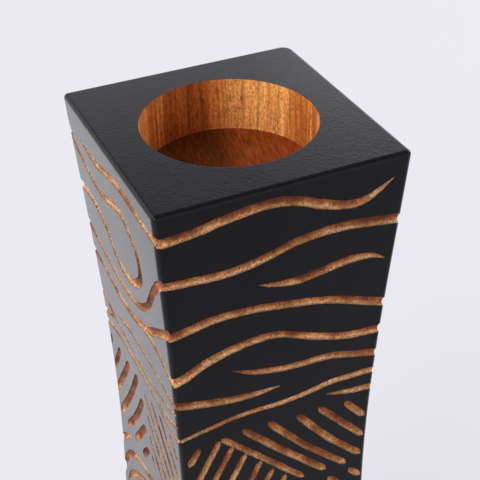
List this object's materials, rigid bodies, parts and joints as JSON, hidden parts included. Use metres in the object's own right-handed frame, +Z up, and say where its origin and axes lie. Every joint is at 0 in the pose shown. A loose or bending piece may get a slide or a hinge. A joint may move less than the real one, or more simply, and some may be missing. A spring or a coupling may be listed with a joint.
{
  "type": "tealight candlestick",
  "caption": "Square waisted wooden candlestick with a drilled seat for a tealight in its top, painted black and carved through to bare wood.",
  "frame": {"origin": "on the table, under the middle of the square base", "axes": "+Z up along the candlestick, -Y towards the front face, +X to the right"},
  "size_m": [0.0598, 0.0598, 0.2],
  "materials": {
    "painted_wood": "satin black paint with carved lines and a drilled seat of bare lacquered wood",
    "felt": "pressed wool felt"
  },
  "bodies": {
    "root": {"board_left": "painted_wood", "board_middle": "painted_wood", "board_right": "painted_wood", "felt_pad_front_left": "felt", "felt_pad_front_right": "felt", "felt_pad_back_left": "felt", "felt_pad_back_right": "felt"}
  },
  "joints": []
}
